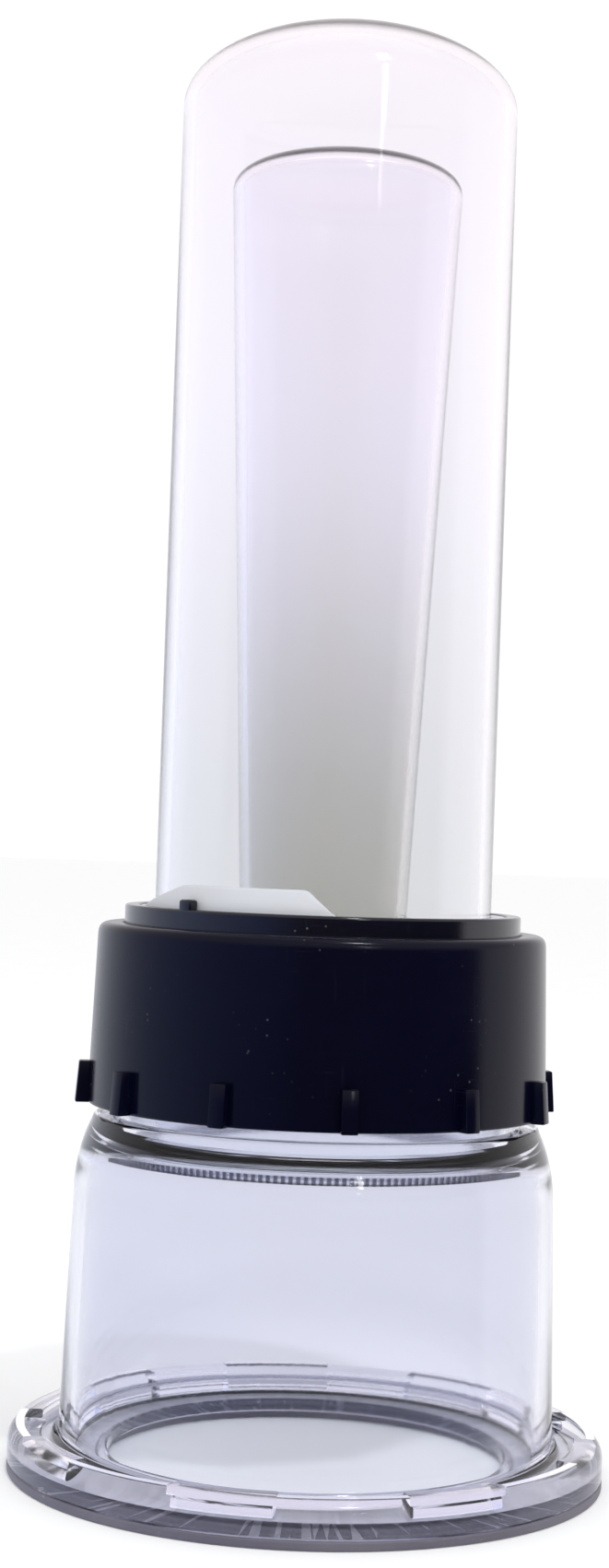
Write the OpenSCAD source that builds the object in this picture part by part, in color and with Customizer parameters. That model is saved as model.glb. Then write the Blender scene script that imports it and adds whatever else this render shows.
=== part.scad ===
// Fuel sampler: a wide clear catch cup, a black clamping collar and a long clear
// sample tube with an inner vial. It stands mouth down, as it is put away to drain.
// +Z is up, the origin is the centre of the mouth, on the surface it stands on,
// and the side with the raised tab faces -Y.

/* [Sample tube] */
// Outer diameter of the sample tube
tube_d = 50; // [40:0.5:70]
// Wall of the sample tube
tube_wall = 1.8; // [1.2:0.1:3]
// Length of the straight part of the tube
tube_len = 127.5; // [95:0.5:200]
// Height of the domed end above the straight part
dome_rise = 12; // [8:0.5:20]

/* [Inner vial] */
// Gap between the vial and the tube at the vial's wide end
vial_side_gap = 6; // [4:0.5:8]
// Room above the vial, inside the dome
vial_headroom = 17.3; // [14:0.1:30]
// Diameter of the vial's neck
vial_neck_d = 24.4; // [20:0.2:26]
// Wall of the vial
vial_wall = 1.4; // [1:0.1:2]
// Height of the vial's domed end
vial_dome_rise = 5; // [4:0.5:7]
// How far the vial's mouth dips below the seat
vial_dip = 9.2; // [6:0.2:10]
// How far the vial's bead stands out
bead_reach = 2; // [1.4:0.1:2.4]
// Thickness of the vial's bead
bead_t = 1.6; // [1.2:0.1:2.4]

/* [Collar] */
// Wall of the collar outside its thread
collar_wall = 2; // [1.8:0.1:4]
// How much the collar narrows towards its top, on the radius
collar_taper = 0.8; // [0:0.1:1]
// Thickness of the collar's top lip
lip_t = 3.7; // [3:0.1:5]
// Rounding of the collar's top edge
collar_round = 1.8; // [0.6:0.1:2]
// Gap between the cup's shoulder and the collar
collar_gap = 1.6; // [1:0.1:4]
// Number of grip lugs around the collar
lug_count = 12; // [8:1:16]
// Angle of one grip lug from the front
lug_turn = 7.5; // [0:0.5:45]
// Width of a grip lug
lug_w = 2.4; // [2:0.1:5]
// Height of a grip lug
lug_h = 6.1; // [4:0.1:12]
// How far a grip lug stands out at its foot
lug_reach = 1.85; // [1.5:0.05:4]
// How much less a grip lug stands out at its top
lug_lean = 0.45; // [0:0.05:0.8]

/* [Ferrule and wedge ring] */
// Wall of the ferrule's boss around the wedge ring
boss_wall = 2; // [1.6:0.1:3]
// How far the boss stands above the collar
boss_stand = 2.7; // [2:0.1:5]
// How far the ferrule's foot flange reaches past the boss
ferrule_reach = 1.5; // [1.2:0.1:3]
// Thickness of the ferrule's foot flange
ferrule_flange_t = 2.6; // [2.4:0.1:4]
// Ledge under the tube's foot
ferrule_ledge_t = 1.5; // [1:0.1:2]
// Thickness of the wedge ring, on the radius
wedge_t = 2.25; // [1.6:0.05:3]
// Depth of the wedge ring inside the boss
wedge_depth = 3.4; // [2.5:0.1:3.6]
// How far the raised tab stands above the boss
tab_rise = 3.4; // [2:0.1:6]
// Angle that the raised tab covers at its foot
tab_angle = 79; // [60:1:110]
// Middle of the raised tab's foot, from the front
tab_middle = -35.5; // [-60:0.5:60]
// Long slope at the tab's left end, as an angle around the tube
tab_ramp = 28; // [6:1:32]
// Short slope at the tab's right end, as an angle around the tube
tab_end = 9; // [4:1:14]
// Slit of the split wedge ring
split_w = 2.5; // [1.5:0.1:5]
// Height of the index tooth on the boss
tooth_h = 1.4; // [0.8:0.1:2.5]
// Width of the index tooth
tooth_w = 2.2; // [1.5:0.1:4]

/* [Neck] */
// Length of the cup's threaded neck
neck_len = 17.8; // [17:0.1:30]
// Wall of the neck under its thread
neck_wall = 2.3; // [2:0.1:4]
// Height of the thread ridges
thread_h = 0.8; // [0.5:0.1:1.2]
// Rise of the collar in one turn
collar_pitch = 3; // [2:0.5:4]
// Height of the ledge in the neck, above the shoulder
ledge_up = 6.7; // [6.5:0.1:7.5]
// Width of the ledge in the neck
ledge_w = 3; // [2:0.1:3.4]

/* [Strainer] */
// Thickness of the clamp ring above the screen
clamp_ring_t = 2; // [1.2:0.1:2.4]
// Thickness of the screen
screen_t = 0.4; // [0.3:0.05:0.8]
// Thickness of the support grid
support_t = 2; // [1.2:0.1:2.4]
// Thickness of the strainer's gasket
strainer_gasket_t = 1; // [0.6:0.1:1.4]
// Width of the strainer's rings
strainer_ring_w = 3.4; // [2.5:0.1:5]
// Number of spokes in the support grid
spoke_count = 6; // [3:1:8]
// Width of a spoke
spoke_w = 1.6; // [1:0.1:2.5]
// Length of the retaining ring's threaded barrel
barrel_len = 5.9; // [5.5:0.1:6.5]
// Thickness of the retaining ring's serrated rim
serrated_t = 1.4; // [1:0.1:2]
// How far the serrated rim stands out past the neck's bore
serrated_reach = 2.5; // [1.5:0.1:3.5]
// Number of serrations
serration_count = 180; // [60:10:200]
// Depth of a serration
serration_depth = 0.5; // [0.3:0.05:0.8]

/* [Catch cup] */
// Height of the cup's side, from the mouth ring to the shoulder
side_h = 37.3; // [28:0.1:80]
// Draft of the cup's side, in degrees
cup_draft = 1.5; // [0.5:0.1:3]
// Height of the cup's rounded shoulder
shoulder_h = 11.2; // [10:0.1:14]
// Radius of the shoulder's large curve
shoulder_curve = 24; // [20:1:40]
// Ledge from the neck's thread out to the shoulder's edge
shoulder_ledge = 1.85; // [1.5:0.05:5]
// Wall of the cup
cup_wall = 2.2; // [1.6:0.1:3]
// Thickness of the cup's roof around the neck
roof_t = 2.9; // [2.2:0.1:3.4]
// Rounding inside the cup's shoulder
roof_round = 5; // [2:0.5:5]
// Fillet between the cup's wall and its foot
foot_fillet = 1.2; // [0.6:0.1:1.6]

/* [Mouth ring] */
// Thickness of the cup's foot
foot_t = 1.4; // [1:0.1:2.5]
// How far the foot stands out past the wall
foot_step = 2.7; // [2:0.1:5]
// How far a bayonet lug stands out past the foot
bayonet_reach = 3; // [2:0.1:4]
// Number of bayonet lugs
bayonet_count = 8; // [6:1:10]
// Angle of a bayonet pocket in the mouth ring
pocket_angle = 24.5; // [15:0.5:26]
// Angle by which a lug is narrower than a pocket
lug_play = 5; // [3:0.5:6]
// Middle of one bayonet pocket, from the front
pocket_turn = 7.5; // [0:0.5:45]
// Wall of the mouth ring's rim
rim_wall = 1.4; // [1.2:0.1:3]
// Rounding of the rim's top edge
rim_round = 2.4; // [0.6:0.1:2.6]
// Chamfer of the rim's lower edge
rim_chamfer = 0.4; // [0.2:0.1:0.8]
// Thickness of the mouth ring's floor
ring_floor_t = 2.1; // [1.8:0.1:4]
// Thickness of the hooks
hook_t = 1.35; // [1:0.05:2.5]
// How far the mouth ring reaches in under the cup
mouth_lip = 4.8; // [3:0.1:8]
// Width of the foot seal
seal_w = 2; // [1.4:0.1:2.2]
// Depth of the foot seal's groove
seal_groove = 0.8; // [0.5:0.1:1.2]
// Thickness of the mouth gasket
mouth_gasket_t = 1.3; // [1:0.1:3]
// How far the mouth gasket's edge stands back from the opening
gasket_back = 1.2; // [0.6:0.1:3]

/* [Gaskets] */
// Thickness of the gasket on the neck
neck_gasket_t = 1.2; // [0.8:0.1:2]
// Thickness of the vial seat's flange
seat_t = 1.2; // [1:0.1:2]
// Thickness of the gasket under the ferrule
ferrule_gasket_t = 1; // [0.6:0.1:2]
// Thickness of the slip washer
washer_t = 0.7; // [0.5:0.1:1.2]
// Section of the tube's O-ring
oring_t = 1.3; // [1:0.1:1.5]
// Wall of the soft grommet around the vial's neck
grommet_t = 2.4; // [1.6:0.1:3]
// Wall of the vial seat's hub
hub_t = 2; // [1.4:0.1:3]
// Height of the vial seat's hub above its flange
hub_rise = 2.6; // [2:0.1:4]

/* [Clearances] */
// Radial gap between pieces that turn or slide past each other
slide_gap = 0.3; // [0.2:0.05:0.5]
// Radial gap between the tube and the ferrule
glue_gap = 0.05; // [0.03:0.01:0.1]
// Radial gap of the wedge ring on the tube, and of the vial in its grommet
running_gap = 0.08; // [0.05:0.01:0.1]
// Gap between the bayonet lugs and the hooks above them
hook_gap = 0.25; // [0.2:0.05:0.5]
// Gap between the cup's foot and the mouth ring's floor
foot_gap = 0.3; // [0.2:0.05:0.5]

/* [Hidden] */
$fn = 96;
eps = 0.01;
dome_steps = 20;
curve_steps = 10;

// radii, worked out from the tube outwards
tube_r = tube_d / 2;
tube_in_r = tube_r - tube_wall;
wedge_in_r = tube_r + running_gap;
wedge_out_r = wedge_in_r + wedge_t;
boss_r = wedge_out_r + running_gap + boss_wall;
ferrule_r = boss_r + ferrule_reach;
lip_bore_r = boss_r + slide_gap;
thread_bore_r = ferrule_r + slide_gap;
collar_r = thread_bore_r + thread_h + collar_wall;
crest_r = thread_bore_r - slide_gap;
root_r = crest_r - thread_h;
neck_bore_r = root_r - neck_wall;
ledge_r = neck_bore_r - ledge_w;
shoulder_r = crest_r + shoulder_ledge;
shoulder_inset = shoulder_curve - sqrt(pow(shoulder_curve, 2) - pow(shoulder_h, 2));
side_top_r = shoulder_r + shoulder_inset;
side_foot_r = side_top_r + side_h * tan(cup_draft);
foot_r = side_foot_r + foot_step;
bayonet_r = foot_r + bayonet_reach;
pocket_r = bayonet_r + slide_gap;
rim_r = pocket_r + rim_wall;
hook_r = foot_r + slide_gap;
mouth_r = side_foot_r - cup_wall - mouth_lip;
gasket_in_r = mouth_r + gasket_back;
seal_mid_r = side_foot_r - cup_wall / 2;

// heights, worked out from the mouth upwards
ring_floor_z = mouth_gasket_t + ring_floor_t;
foot_z = ring_floor_z + foot_gap;
foot_top_z = foot_z + foot_t;
hook_z = foot_top_z + hook_gap;
rim_top_z = hook_z + hook_t;
side_top_z = foot_z + side_h;
shoulder_z = side_top_z + shoulder_h;
roof_z = shoulder_z - roof_t;
neck_top_z = shoulder_z + neck_len;
ledge_z = shoulder_z + ledge_up;
collar_z = shoulder_z + collar_gap;
seat_z = neck_top_z + neck_gasket_t;
ferrule_gasket_z = seat_z + seat_t;
ferrule_z = ferrule_gasket_z + ferrule_gasket_t;
washer_z = ferrule_z + ferrule_flange_t;
lip_z = washer_z + washer_t;
collar_top_z = lip_z + lip_t;
boss_top_z = collar_top_z + boss_stand;
tube_foot_z = ferrule_z + ferrule_ledge_t;
dome_z = tube_foot_z + tube_len;
tube_in_top_z = dome_z + dome_rise - tube_wall;
wedge_z = boss_top_z - wedge_depth;

// the strainer hangs from the ledge in the neck
clamp_ring_z = ledge_z - clamp_ring_t;
screen_z = clamp_ring_z - screen_t;
support_z = screen_z - support_t;
strainer_gasket_z = support_z - strainer_gasket_t;
barrel_z = strainer_gasket_z - barrel_len;
serrated_z = barrel_z - serrated_t;
strainer_r = neck_bore_r - slide_gap;
strainer_in_r = strainer_r - strainer_ring_w;
serrated_r = neck_bore_r + serrated_reach;

// the vial stands in the grommet, inside the seat's hub
vial_neck_r = vial_neck_d / 2;
grommet_in_r = vial_neck_r + running_gap;
hub_in_r = grommet_in_r + grommet_t;
hub_r = hub_in_r + hub_t;
hub_top_z = seat_z + seat_t + hub_rise;
vial_mouth_z = seat_z - vial_dip;
bead_z = hub_top_z;
vial_r = tube_in_r - vial_side_gap;
vial_top_z = tube_in_top_z - vial_headroom;
vial_dome_z = vial_top_z - vial_dome_rise;
vial_cone_z = bead_z + bead_t + 1;

clear_plastic = [0.86, 0.87, 0.94, 0.35];
black_plastic = [0.06, 0.06, 0.10];
black_rubber = [0.10, 0.10, 0.11];
grey_rubber = [0.42, 0.42, 0.46];
white_plastic = [0.88, 0.88, 0.85];

// points of a quarter ellipse, from its side (r, z) up to its top (r_end, z + rise)
function dome_points(r, z, rise, r_end = 0) =
    let (last = acos(r_end / r))
    [for (i = [0 : dome_steps]) let (a = last * i / dome_steps) [r * cos(a), z + rise * sin(a)]];

// points of an arc about (x, z), from angle a to angle b
function arc_points(x, z, r, a, b) =
    [for (i = [0 : curve_steps]) let (t = a + (b - a) * i / curve_steps)
        [x + r * cos(t), z + r * sin(t)]];

// points in the opposite order
function backwards(list) = [for (i = [len(list) - 1 : -1 : 0]) list[i]];

// a flat ring with its underside at height z
module ring(r_out, r_in, h, z) {
    translate([0, 0, z]) difference() {
        cylinder(h = h, r = r_out);
        translate([0, 0, -1]) cylinder(h = h + 2, r = r_in);
    }
}

// a wedge of a circle, its middle turned from the front (-Y) towards +X
module sector(middle, width, r, h, z) {
    translate([0, 0, z]) rotate([0, 0, middle - 90]) linear_extrude(height = h)
        polygon(concat([[0, 0]],
                       [for (i = [0 : 4]) let (a = width * (i / 4 - 0.5)) r * [cos(a), sin(a)]]));
}

// ridges or grooves of a thread, one ring for each turn
module thread_rings(r_low, r_high, z, h, pitch) {
    turns = floor(h / pitch);
    for (i = [0 : turns - 1])
        rotate_extrude()
            polygon([[r_low, z + pitch * (i + 0.15)], [r_high, z + pitch * (i + 0.4)],
                     [r_high, z + pitch * (i + 0.6)], [r_low, z + pitch * (i + 0.85)]]);
}

// clear cup: threaded neck, rounded shoulder, drafted side and foot with bayonet lugs
module catch_cup() {
    curve_x = side_top_r - shoulder_curve;
    edge_round = 0.8;
    shoulder_end = asin((shoulder_h - edge_round) / shoulder_curve);
    edge_x = curve_x + shoulder_curve * cos(shoulder_end);
    in_side_r = side_foot_r - cup_wall;
    in_top_r = side_top_r - cup_wall;
    thread_start = shoulder_z + collar_gap + 1.5;
    color(clear_plastic) union() {
        rotate_extrude() polygon(concat(
            [[in_side_r, foot_z], [foot_r, foot_z], [foot_r, foot_top_z]],
            backwards(arc_points(side_foot_r + foot_fillet, foot_top_z + foot_fillet, foot_fillet,
                                 180, 270)),
            arc_points(curve_x, side_top_z, shoulder_curve, 0, shoulder_end),
            arc_points(edge_x - edge_round, shoulder_z - edge_round, edge_round, 20, 90),
            [[root_r, shoulder_z], [root_r, neck_top_z], [ledge_r, neck_top_z],
             [ledge_r, ledge_z], [neck_bore_r, ledge_z], [neck_bore_r, roof_z]],
            backwards(arc_points(in_top_r - roof_round, roof_z - roof_round, roof_round, 0, 90))
        ));
        thread_rings(root_r - eps, crest_r, thread_start, neck_top_z - thread_start - 0.5,
                     collar_pitch);
        for (i = [0 : bayonet_count - 1])
            intersection() {
                ring(bayonet_r, foot_r - 1, foot_t, foot_z);
                sector(pocket_turn + (i + 0.5) * 360 / bayonet_count, pocket_angle - lug_play,
                       rim_r * 1.2, foot_t + 2, foot_z - 1);
            }
    }
}

// clear mouth ring: floor with the mouth opening, rim, and hooks over the cup's lugs
module bayonet_ring() {
    color(clear_plastic) difference() {
        rotate_extrude() polygon(concat(
            [[mouth_r, mouth_gasket_t], [rim_r - rim_chamfer, mouth_gasket_t],
             [rim_r, mouth_gasket_t + rim_chamfer]],
            arc_points(rim_r - rim_round, rim_top_z - rim_round, rim_round, 0, 90),
            [[hook_r, rim_top_z], [hook_r, hook_z], [pocket_r, hook_z], [pocket_r, ring_floor_z],
             [mouth_r, ring_floor_z]]
        ));
        for (i = [0 : bayonet_count - 1])
            intersection() {
                ring(pocket_r, hook_r - 1, hook_t + 2, hook_z - 1);
                sector(pocket_turn + i * 360 / bayonet_count, pocket_angle, rim_r * 1.2,
                       hook_t + 4, hook_z - 2);
            }
        ring(seal_mid_r + seal_w / 2, seal_mid_r - seal_w / 2, seal_groove + 1,
             ring_floor_z - seal_groove);
    }
}

// square seal in the mouth ring's groove, under the cup's foot
module foot_seal() {
    color(black_rubber)
        ring(seal_mid_r + seal_w / 2, seal_mid_r - seal_w / 2, seal_groove + foot_gap,
             ring_floor_z - seal_groove);
}

// soft gasket bonded under the mouth ring
module mouth_gasket() {
    color(grey_rubber) ring(rim_r, gasket_in_r, mouth_gasket_t, 0);
}

// clear screwed ring with a finely serrated rim, which holds the strainer in the neck
module retaining_ring() {
    tooth = 360 / serration_count;
    color(clear_plastic) difference() {
        union() {
            translate([0, 0, serrated_z]) linear_extrude(height = serrated_t)
                polygon([for (i = [0 : serration_count - 1]) each
                    [serrated_r * [cos(i * tooth), sin(i * tooth)],
                     (serrated_r - serration_depth) * [cos((i + 0.5) * tooth),
                                                       sin((i + 0.5) * tooth)]]]);
            translate([0, 0, barrel_z - eps]) cylinder(h = barrel_len + eps, r = strainer_r);
        }
        translate([0, 0, serrated_z - 1])
            cylinder(h = serrated_t + barrel_len + 2, r = strainer_in_r);
    }
}

// flat gasket between the retaining ring and the support grid
module strainer_gasket() {
    color(black_rubber) ring(strainer_r, strainer_in_r, strainer_gasket_t, strainer_gasket_z);
}

// ring with spokes that carries the screen
module support_grid() {
    hub_d = 6;
    color(white_plastic) union() {
        ring(strainer_r, strainer_in_r, support_t, support_z);
        translate([0, 0, support_z]) cylinder(h = support_t, d = hub_d);
        for (i = [0 : spoke_count - 1]) rotate([0, 0, i * 360 / spoke_count])
            translate([0, -spoke_w / 2, support_z])
                cube([strainer_in_r + strainer_ring_w / 2, spoke_w, support_t]);
    }
}

// fine screen that lets fuel through and holds water and dirt back
module separator_screen() {
    color([0.55, 0.56, 0.58])
        translate([0, 0, screen_z]) cylinder(h = screen_t, r = strainer_r - 0.4);
}

// ring that presses the screen on its support
module screen_clamp_ring() {
    color(white_plastic) ring(strainer_r, strainer_in_r, clamp_ring_t, clamp_ring_z);
}

// flat gasket on the neck's top face
module neck_gasket() {
    color(black_rubber) ring(root_r, ledge_r + 0.5, neck_gasket_t, neck_top_z);
}

// seat plate clamped on the neck, with a hub for the vial's grommet
module vial_seat() {
    hub_drop = 1.5;
    color(white_plastic) rotate_extrude() polygon([
        [hub_in_r, seat_z - hub_drop], [hub_r, seat_z - hub_drop], [hub_r, seat_z],
        [root_r, seat_z], [root_r, seat_z + seat_t], [hub_r, seat_z + seat_t],
        [hub_r, hub_top_z - grommet_t / 2], [hub_in_r, hub_top_z - grommet_t / 2]]);
}

// soft sleeve in the hub; its top rim carries the vial's bead
module vial_grommet() {
    sleeve_drop = 1.5;
    rim_z = hub_top_z - grommet_t / 2;
    color(black_rubber) rotate_extrude() polygon([
        [grommet_in_r, seat_z - sleeve_drop], [hub_in_r, seat_z - sleeve_drop],
        [hub_in_r, rim_z], [hub_r - 0.4, rim_z], [hub_r - 0.4, hub_top_z],
        [grommet_in_r, hub_top_z]]);
}

// clear vial: open neck at the bottom, widening up to a rounded end
module inner_vial() {
    in_r = vial_neck_r - vial_wall;
    color(clear_plastic) rotate_extrude() polygon(concat(
        [[in_r, vial_mouth_z], [vial_neck_r, vial_mouth_z], [vial_neck_r, bead_z],
         [vial_neck_r + bead_reach, bead_z], [vial_neck_r + bead_reach, bead_z + bead_t],
         [vial_neck_r, bead_z + bead_t], [vial_neck_r, vial_cone_z]],
        dome_points(vial_r, vial_dome_z, vial_dome_rise),
        backwards(dome_points(vial_r - vial_wall, vial_dome_z, vial_dome_rise - vial_wall)),
        [[in_r, vial_cone_z + vial_wall]]
    ));
}

// flat gasket between the vial seat and the ferrule
module ferrule_gasket() {
    color(black_rubber) ring(root_r, tube_in_r, ferrule_gasket_t, ferrule_gasket_z);
}

// black ferrule that holds the tube's foot: flange, boss and seat for the wedge ring
module tube_ferrule() {
    bore_r = tube_r + glue_gap;
    seat_r = wedge_out_r + running_gap;
    groove_z = tube_foot_z + 1.6;
    tooth_turn = -42;
    color(black_plastic) difference() {
        union() {
            ring(ferrule_r, tube_in_r, ferrule_flange_t, ferrule_z);
            ring(boss_r, tube_in_r, boss_top_z - ferrule_z, ferrule_z);
            intersection() {
                ring(boss_r, seat_r, tooth_h + 1, boss_top_z - 1);
                rotate([0, 0, tooth_turn - 90]) translate([0, -tooth_w / 2, boss_top_z - 2])
                    cube([boss_r + 2, tooth_w, tooth_h + 2]);
            }
        }
        translate([0, 0, tube_foot_z]) cylinder(h = boss_top_z, r = bore_r);
        translate([0, 0, wedge_z]) cylinder(h = boss_top_z, r = seat_r);
        translate([0, 0, groove_z]) cylinder(h = oring_t + 0.2, r = bore_r + oring_t - 0.2);
    }
}

// O-ring around the tube's foot, in the ferrule's groove
module tube_oring() {
    groove_z = tube_foot_z + 1.6;
    color(black_rubber) ring(tube_r + glue_gap + oring_t - 0.25, tube_r + 0.02, oring_t,
                             groove_z + 0.1);
}

// clear outer tube, open at its foot and domed at its top
module sample_tube() {
    color(clear_plastic) rotate_extrude() polygon(concat(
        [[tube_in_r, tube_foot_z], [tube_r, tube_foot_z]],
        dome_points(tube_r, dome_z, dome_rise),
        backwards(dome_points(tube_in_r, dome_z, dome_rise - tube_wall))
    ));
}

// split white ring wedged around the tube, with a raised tab that slopes down at both ends
module wedge_ring() {
    body_top_z = boss_top_z - 0.2;
    tab_top_z = boss_top_z + tab_rise;
    reach = wedge_out_r + 2;
    middle_r = (wedge_in_r + wedge_out_r) / 2;
    half = tab_angle / 2;
    color(white_plastic) difference() {
        intersection() {
            ring(wedge_out_r, wedge_in_r, tab_top_z - wedge_z, wedge_z);
            union() {
                translate([-reach, -reach, wedge_z - 1])
                    cube([2 * reach, 2 * reach, body_top_z - wedge_z + 1]);
                rotate([0, 0, tab_middle - 90]) rotate([90, 0, 90]) linear_extrude(height = reach)
                    polygon([[-middle_r * sin(half), body_top_z - 1],
                             [-middle_r * sin(half), body_top_z],
                             [-middle_r * sin(half - tab_ramp), tab_top_z + eps],
                             [middle_r * sin(half - tab_end), tab_top_z + eps],
                             [middle_r * sin(half), body_top_z],
                             [middle_r * sin(half), body_top_z - 1]]);
            }
        }
        rotate([0, 0, tab_middle + 180 - 90]) translate([0, -split_w / 2, wedge_z - 1])
            cube([wedge_out_r + 2, split_w, boss_top_z]);
    }
}

// slippery washer between the ferrule's flange and the collar's lip
module slip_washer() {
    color([0.8, 0.8, 0.78]) ring(ferrule_r, lip_bore_r, washer_t, washer_z);
}

// black collar nut with grip lugs around its lower edge
module clamp_collar() {
    thread_z = collar_z + 1;
    top_r = collar_r - collar_taper;
    mouth_chamfer = 0.8;
    color(black_plastic) difference() {
        union() {
            rotate_extrude() polygon(concat(
                [[thread_bore_r + mouth_chamfer, collar_z], [collar_r, collar_z]],
                arc_points(top_r - collar_round, collar_top_z - collar_round, collar_round, 0, 90),
                [[lip_bore_r, collar_top_z], [lip_bore_r, lip_z], [thread_bore_r, lip_z],
                 [thread_bore_r, collar_z + mouth_chamfer]]
            ));
            for (i = [0 : lug_count - 1])
                rotate([0, 0, lug_turn + i * 360 / lug_count - 90])
                    translate([collar_r, lug_w / 2, collar_z]) rotate([90, 0, 0])
                        linear_extrude(height = lug_w)
                            polygon([[-1, 0], [lug_reach, 0], [lug_reach - lug_lean, lug_h],
                                     [-1 - collar_taper / 2, lug_h]]);
        }
        thread_rings(thread_bore_r - eps, thread_bore_r + thread_h, thread_z,
                     lip_z - thread_z - 1, collar_pitch);
    }
}

catch_cup();
bayonet_ring();
foot_seal();
mouth_gasket();
retaining_ring();
strainer_gasket();
support_grid();
separator_screen();
screen_clamp_ring();
neck_gasket();
vial_seat();
vial_grommet();
inner_vial();
ferrule_gasket();
tube_ferrule();
tube_oring();
sample_tube();
wedge_ring();
slip_washer();
clamp_collar();
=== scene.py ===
import math

import bmesh
import bpy
from mathutils import Matrix, Vector


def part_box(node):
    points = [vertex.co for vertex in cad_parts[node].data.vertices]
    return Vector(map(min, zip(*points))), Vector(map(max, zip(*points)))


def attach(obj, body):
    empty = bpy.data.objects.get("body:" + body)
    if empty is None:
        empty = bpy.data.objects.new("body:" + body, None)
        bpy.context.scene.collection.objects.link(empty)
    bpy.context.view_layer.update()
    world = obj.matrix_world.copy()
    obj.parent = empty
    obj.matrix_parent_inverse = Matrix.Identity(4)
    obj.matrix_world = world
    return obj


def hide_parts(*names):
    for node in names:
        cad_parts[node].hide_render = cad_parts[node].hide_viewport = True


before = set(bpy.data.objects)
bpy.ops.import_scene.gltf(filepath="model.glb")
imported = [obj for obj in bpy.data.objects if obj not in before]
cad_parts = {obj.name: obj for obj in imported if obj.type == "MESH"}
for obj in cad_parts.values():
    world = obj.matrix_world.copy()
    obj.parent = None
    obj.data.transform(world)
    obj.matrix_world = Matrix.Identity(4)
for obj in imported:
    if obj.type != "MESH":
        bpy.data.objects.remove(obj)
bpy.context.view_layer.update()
mm = 0.001


# helpers for meshes
def high(node):
    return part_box(node)[1].z / mm


def low(node):
    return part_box(node)[0].z / mm


def wide(node):
    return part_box(node)[1].x / mm


def rounded(corners, steps=5):
    # corners are (r, z) or (r, z, rounding); each rounding becomes a short arc
    points = []
    count = len(corners)
    for i, corner in enumerate(corners):
        here = Vector(corner[:2])
        rounding = corner[2] if len(corner) > 2 else 0
        before = Vector(corners[i - 1][:2]) - here
        after = Vector(corners[(i + 1) % count][:2]) - here
        if rounding <= 0 or before.length < 1e-6 or after.length < 1e-6:
            points.append(tuple(here))
            continue
        turn = before.angle(after)
        back = min(rounding / math.tan(turn / 2), 0.48 * before.length, 0.48 * after.length)
        start, end = here + before.normalized() * back, here + after.normalized() * back
        for k in range(steps + 1):
            t = k / steps
            points.append(tuple(start * (1 - t) ** 2 + here * 2 * t * (1 - t) + end * t ** 2))
    return points


def ellipseArc(r, z, rise, steps=24, fromTop=False, fullness=2.0):
    # points from the side (r, z) up to the top on the axis, or the other way
    power = 2 / fullness
    points = [(r * math.cos(a) ** power if k < steps else 0.0, z + rise * math.sin(a) ** power)
              for k, a in enumerate(math.pi / 2 * k / steps for k in range(steps + 1))]
    return points[::-1] if fromTop else points


def cornerArc(x, z, r, angles):
    # points of an arc about (x, z), for angles in degrees from the horizontal
    return [(x + r * math.cos(math.radians(a)), z + r * math.sin(math.radians(a)))
            for a in angles]


def addPiece(name, mesh, material, sharp=32):
    mesh.validate()
    piece = bpy.data.objects.new(name, mesh)
    bpy.context.scene.collection.objects.link(piece)
    mesh.materials.clear()
    mesh.materials.append(material)
    for face in mesh.polygons:
        face.use_smooth = True
    mesh.set_sharp_from_angle(angle=math.radians(sharp))
    return piece


def closeMesh(work, name):
    # merges doubles, turns the faces outwards and hands over the mesh
    bmesh.ops.remove_doubles(work, verts=work.verts, dist=2e-6)
    bmesh.ops.dissolve_degenerate(work, edges=work.edges, dist=1e-6)
    bmesh.ops.recalc_face_normals(work, faces=work.faces)
    if work.calc_volume(signed=True) < 0:
        bmesh.ops.reverse_faces(work, faces=work.faces)
    mesh = bpy.data.meshes.new(name)
    work.to_mesh(mesh)
    work.free()
    return mesh


def sweptRing(name, angles, profileAt, closed=True):
    # a closed section carried round the axis; angle 0 is the front, positive towards +X
    work = bmesh.new()
    rows = []
    for angle in angles:
        a = math.radians(angle)
        rows.append([work.verts.new((r * mm * math.sin(a), -r * mm * math.cos(a), z * mm))
                     for r, z in profileAt(angle)])
    size = len(rows[0])
    spans = len(rows) if closed else len(rows) - 1
    for i in range(spans):
        a, b = rows[i], rows[(i + 1) % len(rows)]
        for k in range(size):
            quad = [a[k], b[k], b[(k + 1) % size], a[(k + 1) % size]]
            work.faces.new(quad)
    if not closed:
        work.faces.new(rows[0][::-1])
        work.faces.new(rows[-1])
    return closeMesh(work, name)


def turned(name, corners, steps=160, rounding=5):
    points = rounded(corners, rounding)
    return sweptRing(name, [360 * i / steps for i in range(steps)], lambda angle: points)


def blockMesh(name, corners, width, bevel):
    # a slab whose outline lies in the (radius, height) plane at the front, with bevelled edges
    work = bmesh.new()
    ends = []
    for side in (-width / 2, width / 2):
        ends.append([work.verts.new((side * mm, -r * mm, z * mm)) for r, z in corners])
    size = len(corners)
    work.faces.new(ends[0])
    work.faces.new(ends[1][::-1])
    for k in range(size):
        work.faces.new([ends[0][k], ends[0][(k + 1) % size], ends[1][(k + 1) % size], ends[1][k]])
    bmesh.ops.recalc_face_normals(work, faces=work.faces)
    bmesh.ops.bevel(work, geom=list(work.edges), offset=bevel * mm, segments=2, profile=0.5,
                    affect="EDGES", clamp_overlap=True)
    return closeMesh(work, name)


def joined(name, pieces):
    # one mesh from several meshes or objects; addPiece gives it its material
    work = bmesh.new()
    for piece in pieces:
        work.from_mesh(piece.data if hasattr(piece, "data") else piece)
    mesh = bpy.data.meshes.new(name)
    work.to_mesh(mesh)
    work.free()
    return mesh


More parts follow.
